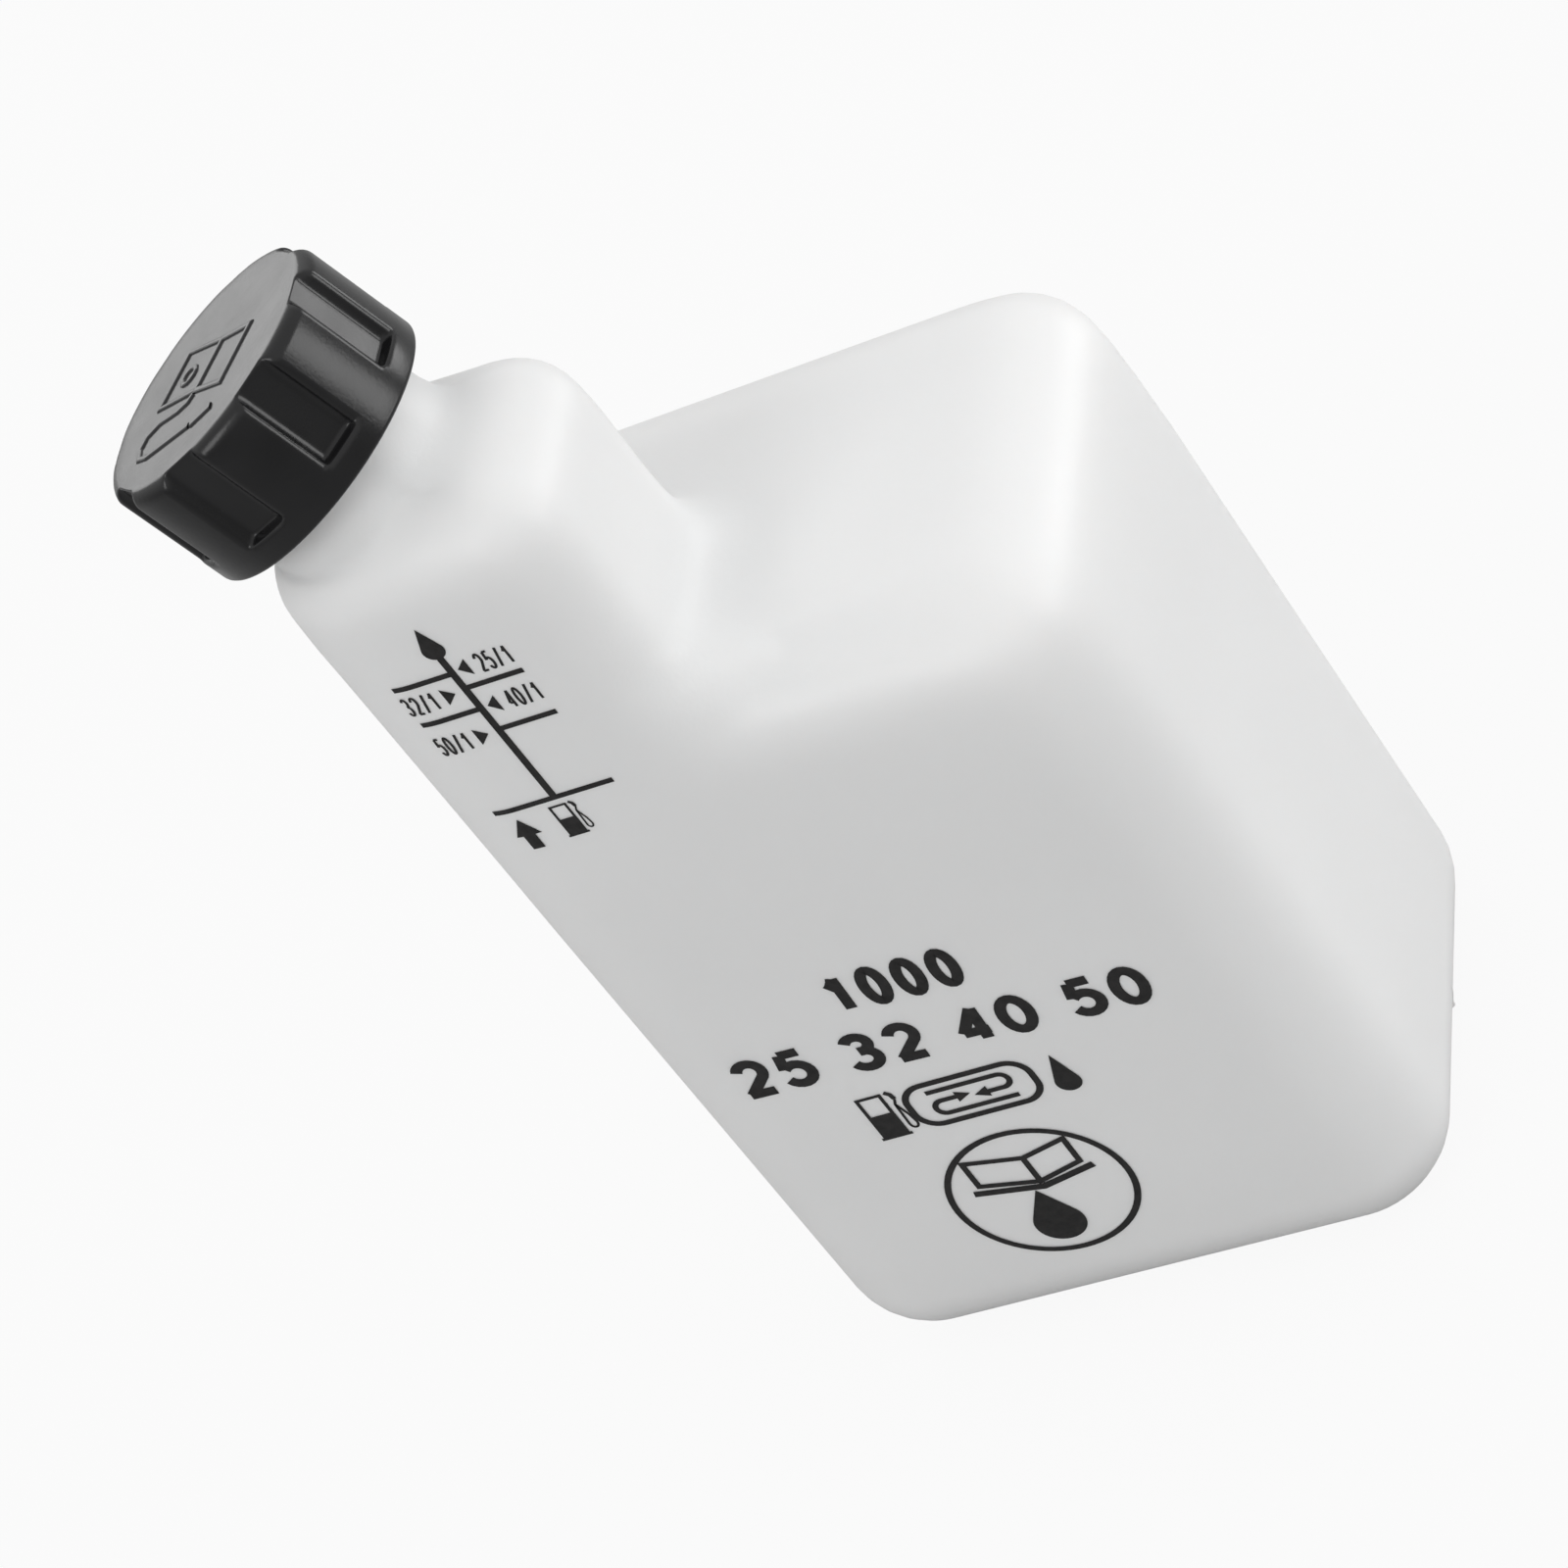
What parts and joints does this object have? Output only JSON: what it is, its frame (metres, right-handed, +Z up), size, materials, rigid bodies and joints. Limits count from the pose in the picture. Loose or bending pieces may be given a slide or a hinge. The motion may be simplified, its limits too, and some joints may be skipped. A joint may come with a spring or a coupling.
{
  "type": "fuel mixing bottle",
  "caption": "Blow-moulded mixing bottle with a wide body, a narrow graduated oil column and a leaning screw neck closed by a ribbed cap.",
  "frame": {"origin": "middle of the whole bottle's box, on the plane its base stands on", "axes": "+Z up, -Y out of the graduated front face, +X towards the wide body's side, away from the oil column and the neck"},
  "size_m": [0.1158, 0.0801, 0.2202],
  "materials": {
    "bottle": "translucent milky white blown polyethylene, satin",
    "cap": "moulded black plastic, semi-gloss",
    "cap_seal": "foamed liner disc, matt"
  },
  "bodies": {
    "bottle": {"bottle": "bottle"},
    "seal": {"cap_seal": "cap_seal"},
    "cap": {"cap": "cap"}
  },
  "joints": [
    {"name": "cap_lift", "type": "slide", "parent": "bottle", "child": "seal", "axis": [-0.3432, 0.0524, 0.9378], "range_m": [0, 0.018]},
    {"name": "cap_turn", "type": "hinge", "parent": "seal", "child": "cap", "pos_m": [-0.03079, -0.01828, 0.19449], "axis": [-0.3432, 0.0524, 0.9378], "range_deg": [0, 1080]}
  ],
  "couplings": [
    {"joint": "cap_lift", "follows": "cap_turn", "m_per_rad": 0.00095493}
  ]
}
